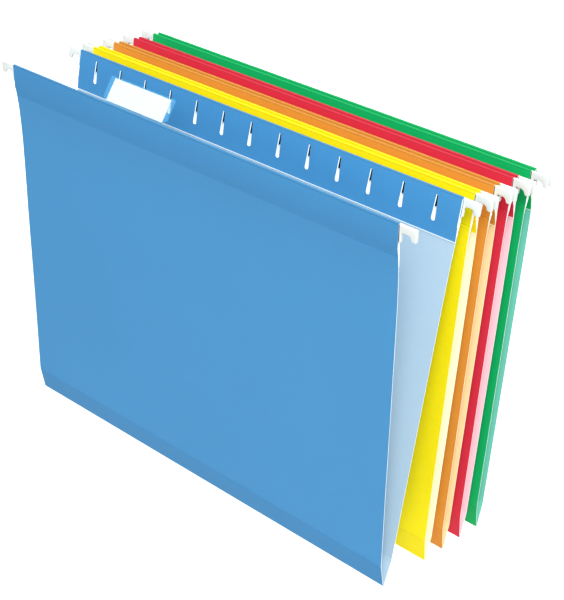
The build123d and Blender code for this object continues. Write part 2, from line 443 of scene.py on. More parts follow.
PUNCH_START = 0.9 * MM
PUNCH_DEPTH = 1.25 * MM
PUNCH_LENGTH = SLOT_LENGTH - 2 * SLOT_RIM
PUNCH_TOP_WIDTH = SLOT_TOP_WIDTH - 2 * SLOT_RIM
PUNCH_FOOT_WIDTH = SLOT_FOOT_WIDTH - 2 * SLOT_RIM
# Just under half of the width, so that the two round corners stay apart
PUNCH_ROUND_SHARE = 0.49
PUNCH_ROUND_STEPS = 6
print("slots every", in_mm(SLOT_PITCH), "mm")


# %% Model the punch
def face_outward(piece):
    """Turn all faces of a closed piece outward, and leave edit mode."""
    pick_all(piece)
    bpy.ops.mesh.normals_make_consistent(inside=False)
    bpy.ops.object.mode_set(mode="OBJECT")


def raise_outline(piece, step):
    """Pull a flat outline out to its thickness as a closed piece."""
    pick_all(piece)
    pull(step)
    face_outward(piece)


start_piece()
punch_place = (FIRST_SLOT, -PUNCH_START, SLOT_MIDDLE)
bpy.ops.mesh.primitive_plane_add(size=1, rotation=UPRIGHT, location=punch_place)
bpy.context.object.scale = (PUNCH_FOOT_WIDTH, PUNCH_LENGTH, 1)
punch = name_piece("slot_punch")
pick(punch, lambda place: place.z > SLOT_MIDDLE)
bpy.ops.transform.resize(value=(PUNCH_TOP_WIDTH / PUNCH_FOOT_WIDTH, 1, 1), center_override=punch_place)
pick(punch, lambda place: place.z < SLOT_MIDDLE)
bpy.ops.mesh.bevel(
    offset=PUNCH_FOOT_WIDTH * PUNCH_ROUND_SHARE,
    segments=PUNCH_ROUND_STEPS,
    affect="VERTICES",
    clamp_overlap=True,
)
raise_outline(punch, (0, -PUNCH_DEPTH, 0))
apply_modifier(
    punch,
    "ARRAY",
    "slots",
    count=SLOT_COUNT,
    use_relative_offset=False,
    use_constant_offset=True,
    constant_offset_displace=(SLOT_PITCH, 0, 0),
)
print("punch", in_mm(*punch.dimensions), "mm")

# %% [markdown]
# ## A leaf and its curve
# Half of a folder is a leaf: a slanting foot above the crease, a broad panel, a band at the top, a round
# fold over the rod, and a hem that comes down inside and is glued at its lower edge. A sheet is best
# modelled as a thin surface first and made thick last.
# The open folder's leaves are drawn in below their rods by the card's own weight, the front one more. The
# leaves of the closed folders bow out a little, because the stiff foot holds them apart. Such a curve
# could be sculpted, but a formula for how far in the card lies at each height is smoother and easy to
# change.

# %% Places on a leaf
SHEET = 0.4 * MM
FOOT = 16.0 * MM
CREASE_LIP = 0.3 * MM
# The rod holds the card straight to the first drop, the curve sets in over the next length, and from the
# last drop down the card comes back to the foot
HELD_DROP, EASE_LENGTH, RETURN_DROP = 14.0 * MM, 12.0 * MM, 50.0 * MM


def settled(drop, settle):
    """How far the card is drawn in from the rod's line, at a drop below the fold."""
    below_rod = 1 - math.exp(-max(drop - HELD_DROP, 0) / EASE_LENGTH)
    above_foot = min((HEIGHT - drop - FOOT) / (HEIGHT - RETURN_DROP - FOOT), 1)
    return settle * below_rod * above_foot


def leaf_place(drop, settle):
    """Outward and up place of the leaf's outer face at a drop below the fold."""
    return LEAF_OUTER - settled(drop, settle), HEIGHT - drop


def foot_place(height):
    """Outward and up place of the slanting foot at a height above the crease."""
    return SHEET + CREASE_LIP / 2 + (LEAF_OUTER - SHEET - CREASE_LIP / 2) * height / FOOT, height


print("foot from", in_mm(*foot_place(0)), "to", in_mm(*foot_place(FOOT)), "mm")

# %% [markdown]
# ## The panel of a leaf
# The panel is the broad face between the two scores. A plane would do for a flat one. A grid has rows
# that can be moved in one by one to follow the curve, and enough faces to take a soft wave later.

# %% Panel
BAND_DROP = 20.0 * MM
PANEL_TOP = HEIGHT - BAND_DROP
COLUMNS, ROWS = 48, 36
# Decimals of a metre that tell rows apart
ROW_DIGITS = 6


def model_panel(name, settle):
    """The broad panel as a grid, each row set in by how far the card settles there."""
    start_piece()
    bpy.ops.mesh.primitive_grid_add(
        x_subdivisions=COLUMNS,
        y_subdivisions=ROWS,
        size=1,
        rotation=UPRIGHT,
        location=(0, -LEAF_OUTER, (FOOT + PANEL_TOP) / 2),
    )
    bpy.context.object.scale = (WIDTH, PANEL_TOP - FOOT, 1)
    leaf = name_piece(name)
    heights = sorted({round(point.co.z, ROW_DIGITS) for point in leaf.data.vertices})
    for height in heights:
        pick_row(leaf, height)
        bpy.ops.transform.translate(value=(0, settled(HEIGHT - height, settle), 0))
    return leaf


print("panel", in_mm(WIDTH, PANEL_TOP - FOOT), "mm")

# %% [markdown]
# ## The foot of a leaf
# Below the lower score the card slants in to the crease, which gives a filled folder a broad base. The
# score is a shallow groove that a blunt rule presses into the card. A texture could fake it, but three
# rows of points make a real one, so the panel's lowest row is pulled down through the groove and along
# the slant.

# %% Foot
GROOVE_WIDTH = 0.8 * MM
GROOVE_DEPTH = 0.15 * MM
FOOT_ROW_SHARES = (0.6, 0.3, 0.0)


def pull_rows(start, places):
    """Extrude the selected row through places given as outward and up, and return the last one."""
    here = start
    for there in places:
        pull((0, here[0] - there[0], there[1] - here[1]))
        here = there
    return here


def pull_out_foot(leaf):
    """Pull the panel's lowest row down through the score line and the slanting foot to the crease."""
    pick_row(leaf, FOOT)
    outward, height = foot_place(FOOT - GROOVE_WIDTH / 2)
    places = [(outward - GROOVE_DEPTH, height), foot_place(FOOT - GROOVE_WIDTH)]
    places += [foot_place(FOOT * share) for share in FOOT_ROW_SHARES]
    places.append((CREASE_LIP, -CREASE_LIP))
    pull_rows((LEAF_OUTER, FOOT), places)


print("score", in_mm(GROOVE_WIDTH, GROOVE_DEPTH), "mm")

# %% [markdown]
# ## The band, the fold and the hem of a leaf
# Above the upper score the card runs up as a band, turns round the rod and comes down inside as the hem,
# which is glued on below the rod. The straight stretches are pulled out row by row as the foot was. The
# fold is half a circle. A bevel could round a sharp fold, but a spin about the rod gives the exact arc in
# one step.

# %% Band, fold and hem
BAND_ROW_DROPS = (17.5 * MM, 15.5 * MM)
FOLD_RADIUS = LEAF_OUTER - ROD_MIDDLE
FOLD_STEPS = 18
HEM_FACE = ROD_MIDDLE - FOLD_RADIUS
HEM_STRAIGHT_DROP = 16.5 * MM
GLUE_TOP_DROP = 23.4 * MM
HEM_DROP = 25.4 * MM
HEM_EDGE = 0.45 * MM


def pull_out_hem(leaf, settle):
    """Pull the panel's top row up through the band, over the rod and down inside as the hem."""
    pick_row(leaf, PANEL_TOP)
    outward, height = leaf_place(BAND_DROP - GROOVE_WIDTH / 2, settle)
    band_drops = (BAND_DROP - GROOVE_WIDTH, *BAND_ROW_DROPS, HELD_DROP, FOLD_RADIUS)
    band = [(outward - GROOVE_DEPTH, height)] + [leaf_place(drop, settle) for drop in band_drops]
    pull_rows(leaf_place(BAND_DROP, settle), band)
    fold_middle = (0, -ROD_MIDDLE, HEIGHT - FOLD_RADIUS)
    bpy.ops.mesh.spin(steps=FOLD_STEPS, angle=math.pi, center=fold_middle, axis=(1, 0, 0))
    hem = [(HEM_FACE, HEIGHT - HEM_STRAIGHT_DROP)]
    for drop in (GLUE_TOP_DROP, HEM_DROP - HEM_EDGE, HEM_DROP):
        outward, height = leaf_place(drop, settle)
        hem.append((outward - 2 * SHEET, height))
    pull_rows((HEM_FACE, HEIGHT - FOLD_RADIUS), hem)
    bpy.ops.object.mode_set(mode="OBJECT")


print("fold radius and hem face", in_mm(FOLD_RADIUS, HEM_FACE), "mm")

# %% [markdown]
# ## The tones of a leaf
# When the sheet is made thick in the next step, a Solidify modifier tells outside, inside and cut edges
# apart, and the outside tone runs over the fold onto the hem by itself. The other tones could be picked
# face by face with the mouse. Here one function looks at where a face lies and which way it points, so a
# change of size carries the tones along.

# %% Tones by place
# A face of the hem points along Y by more than this, and a wall or rim of a slot by less
SLOT_WALL_TURN = 0.9


def beside_slot(below_fold):
    """Whether a drop below the fold is one that the slots span."""
    return SLOT_DROP < below_fold < SLOT_DROP + SLOT_LENGTH


def tone_of(face):
    """Tone of a face, by its side of the sheet and its place on the leaf."""
    below_fold = HEIGHT - face.center.z
    # Inside the rod pocket the card takes painted light
    if face.material_index == INSIDE:
        return POCKET_PAINTED_LIGHT if below_fold < GLUE_TOP_DROP else INSIDE
    # The rim along the crease takes the foot's painted shade
    if face.material_index == CUT_EDGE:
        return FOOT_PAINTED_SHADE if below_fold > HEIGHT - TOUCH else CUT_EDGE
    if beside_slot(below_fold) and abs(face.normal.y) < SLOT_WALL_TURN:
        return CUT_EDGE
    # The fold takes painted shade that takes back its highlight
    if below_fold < FOLD_RADIUS:
        return FOLD_PAINTED_SHADE
    # The hem's open face takes the band's painted shade, all but its pale cut edge
    if face.normal.y > 0:
        return CUT_EDGE if below_fold > HEM_DROP - HEM_EDGE else BAND_PAINTED_SHADE
    # The foot below the lower score takes painted shade
    if below_fold > HEIGHT - FOOT:
        return FOOT_PAINTED_SHADE
    # The band above the upper score takes painted shade
    return BAND_PAINTED_SHADE if below_fold < BAND_DROP else OUTSIDE


print("slots from", in_mm(SLOT_DROP), "to", in_mm(SLOT_DROP + SLOT_LENGTH), "mm below the fold")

# %% [markdown]
# ## The thickness and the slots of a leaf
# The sheet is now made thick, and the punch is taken away from it. A punch that only reaches the hem
# leaves the card behind the rod whole. The rims of the slots are bevelled after that, on the open face
# alone. Smooth shading stops at a small angle, so that the scores stay crisp.

# %% Thickness, slots and rims
SCORE_ANGLE = math.radians(12)


def on_slot_rim(edge):
    """Whether an edge lies where a slot's wall meets the open face of the hem."""
    below_fold = HEIGHT - (edge.verts[0].co.z + edge.verts[1].co.z) / 2
    turns = sorted(face.normal.y for face in edge.link_faces)
    return beside_slot(below_fold) and turns[-1] > SLOT_WALL_TURN and abs(turns[0]) < SLOT_WALL_TURN


def thicken_leaf(leaf):
    """Give the sheet its thickness, slots and tones."""
    for finish in card_finishes[OPEN_COLOUR]:
        leaf.data.materials.append(finish)
    apply_modifier(
        leaf,
        "SOLIDIFY",
        "card",
        thickness=SHEET,
        offset=-1,
        use_even_offset=True,
        material_offset=INSIDE,
        material_offset_rim=CUT_EDGE,
    )
    apply_modifier(leaf, "BOOLEAN", "slots", operation="DIFFERENCE", object=punch, solver="EXACT")
    pick_edges(leaf, on_slot_rim)
    bpy.ops.mesh.bevel(offset=SLOT_RIM, segments=1, affect="EDGES", clamp_overlap=False)
    bpy.ops.object.mode_set(mode="OBJECT")
    for face in leaf.data.polygons:
        face.material_index = tone_of(face)
    start_piece()
    leaf.select_set(True)
    bpy.context.view_layer.objects.active = leaf
    bpy.ops.object.shade_smooth_by_angle(angle=SCORE_ANGLE)


print("card", in_mm(SHEET), "mm thick, rims", in_mm(SLOT_RIM), "mm wide")

# %% Model the leaves facing forward, each crease on the origin
OPEN_SETTLES = {"front": 2.4 * MM, "back": 1.2 * MM}
HANG_SETTLE = -0.8 * MM


def model_leaf(name, settle):
    """One whole leaf facing forward."""
    leaf = model_panel(name, settle)
    pull_out_foot(leaf)
    pull_out_hem(leaf, settle)
    thicken_leaf(leaf)
    print(name, len(leaf.data.polygons), "faces", in_mm(*leaf.dimensions), "mm")
    return leaf


open_leaves = {side: model_leaf(f"open_{side}_leaf", settle) for side, settle in OPEN_SETTLES.items()}
hanging_leaf = model_leaf("hanging_leaf", HANG_SETTLE)

# %% [markdown]
# ## Ten leaves
# Every leaf is a copy of one of those just made, with a mesh of its own. No card hangs dead flat, so each
# copy gets a soft wave of its own. It could be pushed in by hand, but a Displace modifier with a cloud
# texture gives each leaf another one. A vertex group keeps the wave to the panel and lets it die out
# towards the foot and the band, where scores and glue hold the card.
# A back leaf is a front leaf turned half round. The open folder's leaves lean out. The turn and the place
# are applied, so the object ends at the origin with its place in its mesh.

# %% Helpers to copy, hold and place
WAVE_EDGE = 40.0 * MM


def hold_edges(leaf):
    """Group of points that may wave: the panel, fading out towards the foot and the band."""
    group = leaf.vertex_groups.new(name="panel")
    for point in leaf.data.vertices:
        room = min(point.co.z - FOOT, HEIGHT - HEM_DROP - point.co.z) / WAVE_EDGE
        group.add([point.index], min(max(room, 0), 1), "REPLACE")


def copy_piece(master, name):
    """A copy of a finished piece with a mesh of its own, selected and active."""
    start_piece()
    master.select_set(True)
    bpy.context.view_layer.objects.active = master
    bpy.ops.object.duplicate(linked=False)
    piece = bpy.context.object
    piece.name = name
    return piece


def set_in_folder(piece, colour, side):
    """Turn and move a forward-facing piece to its side of its folder, and write that into its mesh."""
    piece.rotation_euler = (OPEN_LEAN if colour == OPEN_COLOUR else 0, 0, SIDE_TURNS[side])
    piece.location = creases[colour]
    bpy.ops.object.transform_apply(location=True, rotation=True, scale=True)


masters = (*open_leaves.values(), hanging_leaf)
for master in masters:
    hold_edges(master)
print("leaves to copy", [master.name for master in masters])

# %% Copy the leaves to their folders
WAVE_HEIGHT = 0.7 * MM
WAVE_LENGTH = 90.0 * MM
WAVE_GROWTH = 7.0 * MM

for number, (colour, side) in enumerate(product(COLOURS, SIDE_TURNS), start=1):
    master = open_leaves[side] if colour == OPEN_COLOUR else hanging_leaf
    leaf = copy_piece(master, f"{colour}_{side}_card")
    wave = bpy.data.textures.new(f"wave_{number}", "CLOUDS")
    wave.noise_scale = WAVE_LENGTH + WAVE_GROWTH * number
    apply_modifier(
        leaf,
        "DISPLACE",
        "wave",
        texture=wave,
        texture_coords="LOCAL",
        direction="Y",
        vertex_group="panel",
        strength=WAVE_HEIGHT,
    )
    for place, finish in enumerate(card_finishes[colour]):
        leaf.data.materials[place] = finish
    set_in_folder(leaf, colour, side)
    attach(leaf, f"{colour}_{side}")
    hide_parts(f"{colour}_{side}_leaf")
for used in (*masters, punch):
    bpy.data.objects.remove(used)
print("leaves", number)

# %% [markdown]
# ## Dipped vinyl
# Each rod ends in a hook dipped in white vinyl. The dip leaves a smooth skin with a slight orange peel,
# and it is a little glossy. A plain white would look like paint, so one fine noise breaks up the
# highlights, and a coarser one lets the white go a touch grey in places.

# %% Vinyl finish
PEEL_SIZE = 0.7 * MM
PEEL_DEPTH = 0.04 * MM
PEEL_STRENGTH = 0.2
STAIN_SIZE = 6.0 * MM
VINYL_GREY, VINYL_WHITE = "#CDD4D1", "#D9DEDB"
VINYL_ROUGHNESS = 0.38
VINYL_IOR = 1.53


def vinyl_finish():
    """Dipped white vinyl: smooth, a little glossy, with a faint orange peel."""
    finish, tree, shader = new_finish("dipped_white_vinyl")
    place = add_node(tree, "ShaderNodeTexCoord").outputs["Object"]
    peel = add_node(
        tree, "ShaderNodeTexNoise", {"Vector": place, "Scale": per_size(PEEL_SIZE), "Detail": SOFT_DETAIL}
    )
    stain = add_node(
        tree, "ShaderNodeTexNoise", {"Vector": place, "Scale": per_size(STAIN_SIZE), "Detail": PLAIN_DETAIL}
    )
    skin = add_node(
        tree,
        "ShaderNodeMix",
        {"Factor": stain.outputs["Fac"], "A": linear(VINYL_GREY), "B": linear(VINYL_WHITE)},
        data_type="RGBA",
    )
    relief = add_node(
        tree,
        "ShaderNodeBump",
        {"Height": peel.outputs["Fac"], "Strength": PEEL_STRENGTH, "Distance": PEEL_DEPTH},
    )
    looks = {
        "Base Color": skin.outputs["Result"],
        "Normal": relief.outputs["Normal"],
        "Roughness": VINYL_ROUGHNESS,
        "IOR": VINYL_IOR,
    }
    fill_inputs(tree, shader, looks)
    return finish


white_vinyl = vinyl_finish()
print("made", white_vinyl.name)

# %% [markdown]
# ## White plastic hooks
# A hook is a flat outline: an arm, a short shoulder against the card and a tapered tip, with a notch for
# the rail between them. It could be traced point by point. Here a plane cut in three by two bisections
# gives the arm, two of its lower edges are pulled down for the shoulder and the tip, and the whole is
# pulled out to its thickness, so each of its sizes stays one value. The coat makes all corners soft.
# Bevels round the notch, the outer corners and after that all rims.

# %% Sizes of a hook
coat_low, coat_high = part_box("yellow_front_hook_coat_right")
COAT_WIDTH = coat_high.x - coat_low.x
COAT_THICKNESS = coat_high.y - coat_low.y
ARM_HEIGHT = 4.2 * MM
SHOULDER_WIDTH = 1.1 * MM
TIP_ROOT, TIP_END = 3.8 * MM, 2.7 * MM
TIP_DROP = 7.2 * MM
HOOK_FACE = creases["yellow"].y - coat_low.y
HOOK_TOP = coat_high.z - creases["yellow"].z
HOOK_FOOT = coat_low.z - creases["yellow"].z
ARM_FOOT = HOOK_TOP - ARM_HEIGHT
SHOULDER_END = coat_low.x + SHOULDER_WIDTH
TIP_START = coat_high.x - TIP_ROOT
print("hook", in_mm(COAT_WIDTH, HOOK_TOP - HOOK_FOOT, COAT_THICKNESS), "mm")

# %% Model the right hook of a front rod
FLAT_ANGLE = math.radians(1)

start_piece()
bpy.ops.mesh.primitive_plane_add(
    size=1,
    rotation=UPRIGHT,
    location=((coat_low.x + coat_high.x) / 2, -HOOK_FACE, HOOK_TOP - ARM_HEIGHT / 2),
)
bpy.context.object.scale = (COAT_WIDTH, ARM_HEIGHT, 1)
hook = name_piece("hook")
for cut in (SHOULDER_END, TIP_START):
    pick_all(hook)
    bpy.ops.mesh.bisect(plane_co=(cut, 0, 0), plane_no=(1, 0, 0))
pick(hook, lambda place: place.z < ARM_FOOT + TOUCH and place.x < SHOULDER_END + TOUCH)
pull((0, 0, HOOK_FOOT - ARM_FOOT))
pick(hook, lambda place: abs(place.z - ARM_FOOT) < TOUCH and place.x > TIP_START - TOUCH)
pull((0, 0, ARM_HEIGHT - TIP_DROP))
bpy.ops.transform.resize(value=(TIP_END / TIP_ROOT, 1, 1), center_override=(coat_high.x, 0, 0))
pick_all(hook)
bpy.ops.mesh.dissolve_limited(angle_limit=FLAT_ANGLE)
raise_outline(hook, (0, COAT_THICKNESS, 0))
print("hook", len(hook.data.vertices), "points before rounding")

# %% Round the hook
NOTCH_ROUND, NOTCH_STEPS = 1.7 * MM, 6
CORNER_ROUND, CORNER_STEPS = 0.8 * MM, 4
RIM_ROUND, RIM_STEPS = 0.4 * MM, 3
HOOK_SMOOTH_ANGLE = math.radians(40)


def runs_across(edge):
    """Whether an edge runs through the thickness, and not along the front or rear outline."""
    return abs(edge.verts[0].co.y - edge.verts[1].co.y) > TOUCH


def corner_at(heights):
    """Test for edges across the thickness at some heights, away from where the rod enters."""
    def test(edge):
        place = edge.verts[0].co
        at_height = any(abs(place.z - height) < TOUCH for height in heights)
        return runs_across(edge) and place.x > coat_low.x + TOUCH and at_height
    return test


def round_edges(piece, test, radius, steps):
    """Round just the edges that pass the test."""
    pick_edges(piece, test)
    bpy.ops.mesh.bevel(offset=radius, segments=steps, affect="EDGES", clamp_overlap=True)


def weld(piece):
    """Merge points that lie in one place, which a clamped bevel leaves behind, and leave edit mode."""
    pick_all(piece)
    bpy.ops.mesh.remove_doubles(threshold=TOUCH)
    bpy.ops.object.mode_set(mode="OBJECT")


round_edges(hook, corner_at([ARM_FOOT]), NOTCH_ROUND, NOTCH_STEPS)
round_edges(hook, corner_at([HOOK_TOP, HOOK_TOP - TIP_DROP, HOOK_FOOT]), CORNER_ROUND, CORNER_STEPS)
round_edges(hook, lambda edge: not runs_across(edge), RIM_ROUND, RIM_STEPS)
weld(hook)
hook.data.materials.append(white_vinyl)
bpy.ops.object.shade_smooth_by_angle(angle=HOOK_SMOOTH_ANGLE)
print("hook", len(hook.data.vertices), "points after rounding")

# %% Copy the hook to every rod end
ENDS = ("left", "right")


def mirror(piece):
    """Swap left and right in the mesh of a piece, and turn its faces outward again."""
    piece.scale = (-1, 1, 1)
    bpy.ops.object.transform_apply(location=False, rotation=False, scale=True)
    face_outward(piece)


for number, (colour, side, end) in enumerate(product(COLOURS, SIDE_TURNS, ENDS), start=1):
    piece = copy_piece(hook, f"{colour}_{side}_hook_{end}")
    # The half turn takes a back hook to the left end, so there it is the right one that is mirrored
    if (end == "left") == (side == "front"):
        mirror(piece)
    set_in_folder(piece, colour, side)
    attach(piece, f"{colour}_{side}")
    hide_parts(f"{colour}_{side}_hook_coat_{end}")
bpy.data.objects.remove(hook)
print("hooks", number)

# %% [markdown]
# ## Steel rods
# The rods are flat strips of cold-rolled steel, blued dark, with fine lines along the strip from the
# rolls. They show as the dark upper part of each slot. Their solids already have the right shape, and
# modelling them again would add nothing, so they stay and only get this finish. The lines are one noise
# stretched far along X. It carries tint, gloss and relief together, as real roll marks do. Those are finer
# than a tenth of a millimetre, so they are drawn 0.4 mm wide to show.

# %% Steel finish
ROLL_LINE_WIDTH = 0.4 * MM
ROLL_STRETCH_SHARE = 0.02
ROLL_DEPTH = 0.02 * MM
ROLL_STRENGTH = 0.2
STEEL_DARK, STEEL_LIGHT = "#1B1E22", "#3A3E44"
STEEL_SMOOTHEST, STEEL_ROUGHEST = 0.3, 0.5


def rolled_steel_finish():
    """Blued cold-rolled strip: dark metal with fine lines along X that stretch the highlights."""
    finish, tree, shader = new_finish("blued_rolled_steel")
    place = add_node(tree, "ShaderNodeTexCoord").outputs["Object"]
    along = add_node(tree, "ShaderNodeMapping", {"Vector": place, "Scale": (ROLL_STRETCH_SHARE, 1, 1)})
    noise = add_node(
        tree,
        "ShaderNodeTexNoise",
        {"Vector": along.outputs["Vector"], "Scale": per_size(ROLL_LINE_WIDTH), "Detail": FINE_DETAIL},
    )
    lines = noise.outputs["Fac"]
    tint = add_node(
        tree,
        "ShaderNodeMix",
        {"Factor": lines, "A": linear(STEEL_DARK), "B": linear(STEEL_LIGHT)},
        data_type="RGBA",
    )
    gloss = add_node(
        tree, "ShaderNodeMapRange", {"Value": lines, "To Min": STEEL_SMOOTHEST, "To Max": STEEL_ROUGHEST}
    )
    relief = add_node(
        tree, "ShaderNodeBump", {"Height": lines, "Strength": ROLL_STRENGTH, "Distance": ROLL_DEPTH}
    )
    looks = {
        "Base Color": tint.outputs["Result"],
        "Roughness": gloss.outputs["Result"],
        "Normal": relief.outputs["Normal"],
        "Metallic": 1.0,
    }
    fill_inputs(tree, shader, looks)
    return finish


rod_steel = rolled_steel_finish()
print("made", rod_steel.name)


# %% Dress the rods
def dress_node(node, finish):
    """Give a solid that stays one finish in all its slots."""
    solid = frame["nodes"][node]
    if not solid.data.materials:
        solid.data.materials.append(finish)
    for place in range(len(solid.data.materials)):
        solid.data.materials[place] = finish


rods = [node for node in frame["nodes"] if node.endswith("_rod")]
for node in rods:
    dress_node(node, rod_steel)
print("rods", len(rods))

# %% [markdown]
# ## Clear vinyl
# The tab is cut from tinted clear vinyl film, glossy and very slightly uneven. Glass-like refraction
# could make it see-through, but it would dim the label behind. The film is thin and light passes straight
# through it, so alpha is enough, and the white label inside stays bright.

# %% Clear vinyl finish
FLOW_SIZE = 5.0 * MM
FLOW_DEPTH = 0.1 * MM
FLOW_STRENGTH = 0.15
FILM_DEEP, FILM_PALE = "#4A9BCB", "#5FABD6"
FILM_ALPHA = 0.18
FILM_ROUGHNESS = 0.12


def clear_vinyl_finish():
    """Tinted clear vinyl film: see-through and glossy, very slightly uneven."""
    finish, tree, shader = new_finish("tinted_clear_vinyl")
    place = add_node(tree, "ShaderNodeTexCoord").outputs["Object"]
    flow = add_node(
        tree, "ShaderNodeTexNoise", {"Vector": place, "Scale": per_size(FLOW_SIZE), "Detail": SOFT_DETAIL}
    )
    tint = add_node(
        tree,
        "ShaderNodeMix",
        {"Factor": flow.outputs["Fac"], "A": linear(FILM_DEEP), "B": linear(FILM_PALE)},
        data_type="RGBA",
    )
    relief = add_node(
        tree,
        "ShaderNodeBump",
        {"Height": flow.outputs["Fac"], "Strength": FLOW_STRENGTH, "Distance": FLOW_DEPTH},
    )
    looks = {
        "Base Color": tint.outputs["Result"],
        "Normal": relief.outputs["Normal"],
        "Alpha": FILM_ALPHA,
        "Roughness": FILM_ROUGHNESS,
        "IOR": VINYL_IOR,
    }
    fill_inputs(tree, shader, looks)
    return finish


clear_vinyl = clear_vinyl_finish()
print("made", clear_vinyl.name)

# %% [markdown]
# ## The clear tab
# The tab is one strip of film, bent into a foot that lies on the hem and a sleeve that leans back over
# the mouth, with two ears tucked through slots. Boxes could be joined to that shape, but a strip that is
# pulled out row by row stays one sheet of even thickness: up the foot, round the bend, up the rear of the
# sleeve, over its top by a spin, and down its front. The ears are pulled from the foot's side edges.

# %% Sizes of the tab
TAB_FILM = 0.35 * MM
# Slots that take the ears, counted from zero at the left
TAB_SLOTS = (3, 5)
TAB_FOOT_PLAY = 0.6 * MM
TAB_OVERHANG = 7.4 * MM
TAB_MIDDLE = FIRST_SLOT + SLOT_PITCH * sum(TAB_SLOTS) / 2
TAB_FOOT_WIDTH = SLOT_PITCH * (TAB_SLOTS[1] - TAB_SLOTS[0]) + TAB_FOOT_PLAY
TAB_WIDTH = TAB_FOOT_WIDTH + TAB_OVERHANG
TAB_FOOT_FACE = 1.0 * MM
TAB_FOOT_DROP = 17.0 * MM
TAB_BEND_DROP = 0.5 * MM
BEND_BELOW, BEND_ABOVE = 0.3 * MM, 0.4 * MM
EAR_TOP_DROP, EAR_FOOT_DROP = 11.0 * MM, 16.0 * MM

TAB_LEAN = math.radians(36)
TAB_HEIGHT = 15.0 * MM
SLEEVE_SETBACK = 0.2 * MM
SLEEVE_REAR, SLEEVE_FRONT = 0.2 * MM, 1.1 * MM
SLEEVE_SHOULDER = 2.4 * MM
SLEEVE_FRONT_FOOT = 0.3 * MM
SLEEVE_TOP_ROUND = (SLEEVE_FRONT - SLEEVE_REAR) / 2
SLEEVE_STRAIGHT = TAB_HEIGHT - SLEEVE_TOP_ROUND


def sleeve_place(forward, up):
    """Outward and up place on the leaf of a point on the leaning sleeve."""
    rear = TAB_FOOT_FACE - SLEEVE_SETBACK
    outward = rear + forward * math.cos(TAB_LEAN) - up * math.sin(TAB_LEAN)
    height = HEIGHT - TAB_BEND_DROP + forward * math.sin(TAB_LEAN) + up * math.cos(TAB_LEAN)
    return outward, height


print("tab", in_mm(TAB_WIDTH, TAB_HEIGHT), "mm, foot", in_mm(TAB_FOOT_WIDTH, TAB_FOOT_DROP), "mm")

# %% Model the strip of the tab
TAB_COLUMNS = 8
SLEEVE_TOP_STEPS = 6


def widen_row(times):
    """Make the selected row of the strip a number of times as wide."""
    bpy.ops.transform.resize(value=(times, 1, 1), center_override=(TAB_MIDDLE, 0, 0))


start_piece()
foot_low, foot_high = HEIGHT - TAB_FOOT_DROP, HEIGHT - EAR_FOOT_DROP
bpy.ops.mesh.primitive_grid_add(
    x_subdivisions=TAB_COLUMNS,
    y_subdivisions=1,
    size=1,
    rotation=UPRIGHT,
    location=(TAB_MIDDLE, -TAB_FOOT_FACE, (foot_low + foot_high) / 2),
)
bpy.context.object.scale = (TAB_FOOT_WIDTH, foot_high - foot_low, 1)
tab = name_piece("blue_tab_film")
pick_row(tab, foot_high)
foot_heights = (HEIGHT - EAR_TOP_DROP, HEIGHT - TAB_BEND_DROP - BEND_BELOW)
here = pull_rows((TAB_FOOT_FACE, foot_high), [(TAB_FOOT_FACE, height) for height in foot_heights])
here = pull_rows(here, [sleeve_place(SLEEVE_REAR, up) for up in (BEND_ABOVE, SLEEVE_SHOULDER)])
widen_row(TAB_WIDTH / TAB_FOOT_WIDTH)
pull_rows(here, [sleeve_place(SLEEVE_REAR, SLEEVE_STRAIGHT)])
top_out, top_up = sleeve_place((SLEEVE_REAR + SLEEVE_FRONT) / 2, SLEEVE_STRAIGHT)
bpy.ops.mesh.spin(steps=SLEEVE_TOP_STEPS, angle=-math.pi, center=(0, -top_out, top_up), axis=(1, 0, 0))
here = sleeve_place(SLEEVE_FRONT, SLEEVE_STRAIGHT)
here = pull_rows(here, [sleeve_place(SLEEVE_FRONT, up) for up in (SLEEVE_SHOULDER, SLEEVE_FRONT_FOOT)])
widen_row(TAB_FOOT_WIDTH / TAB_WIDTH)
print("tab rows end at", in_mm(*here), "mm")

# %% Tuck in the ears and thicken the film
EAR_IN = 1.0 * MM
EAR_REACH = 3.7 * MM
EAR_TIP_SHARE = 0.7
EAR_MIDDLE = HEIGHT - (EAR_TOP_DROP + EAR_FOOT_DROP) / 2
FILM_ROUND, FILM_ROUND_STEPS = 0.08 * MM, 2
TAB_SMOOTH_ANGLE = math.radians(30)


def on_ear_edge(end):
    """Test for points on one side edge of the foot, where the ear leaves it."""
    edge = TAB_MIDDLE + end * TAB_FOOT_WIDTH / 2
    low, high = HEIGHT - EAR_FOOT_DROP - TOUCH, HEIGHT - EAR_TOP_DROP + TOUCH
    return lambda place: abs(place.x - edge) < TOUCH and low < place.z < high


for end in (-1, 1):
    pick(tab, on_ear_edge(end))
    pull((0, -EAR_IN, 0))
    pull((end * EAR_REACH, 0, 0))
    bpy.ops.transform.resize(value=(1, 1, EAR_TIP_SHARE), center_override=(0, 0, EAR_MIDDLE))
bpy.ops.object.mode_set(mode="OBJECT")
apply_modifier(tab, "SOLIDIFY", "film", thickness=TAB_FILM, offset=0, use_even_offset=True)
apply_modifier(
    tab, "BEVEL", "soft_edges", width=FILM_ROUND, segments=FILM_ROUND_STEPS, limit_method="ANGLE"
)
weld(tab)
tab.data.materials.append(clear_vinyl)
bpy.ops.object.shade_smooth_by_angle(angle=TAB_SMOOTH_ANGLE)
set_in_folder(tab, OPEN_COLOUR, "front")
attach(tab, "blue_front")
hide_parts("blue_tab_holder")
print("tab", len(tab.data.polygons), "faces")

# %% [markdown]
# ## The paper label
# The label is a plain strip of white bond paper, cut to slide into the sleeve. Its solid is already the
# right shape, so it only needs the finish: bright white, matt, with the faint cloudiness of bond paper
# held to the light. A flat white would do from afar, and one noise for tone and tooth makes it paper from
# near.

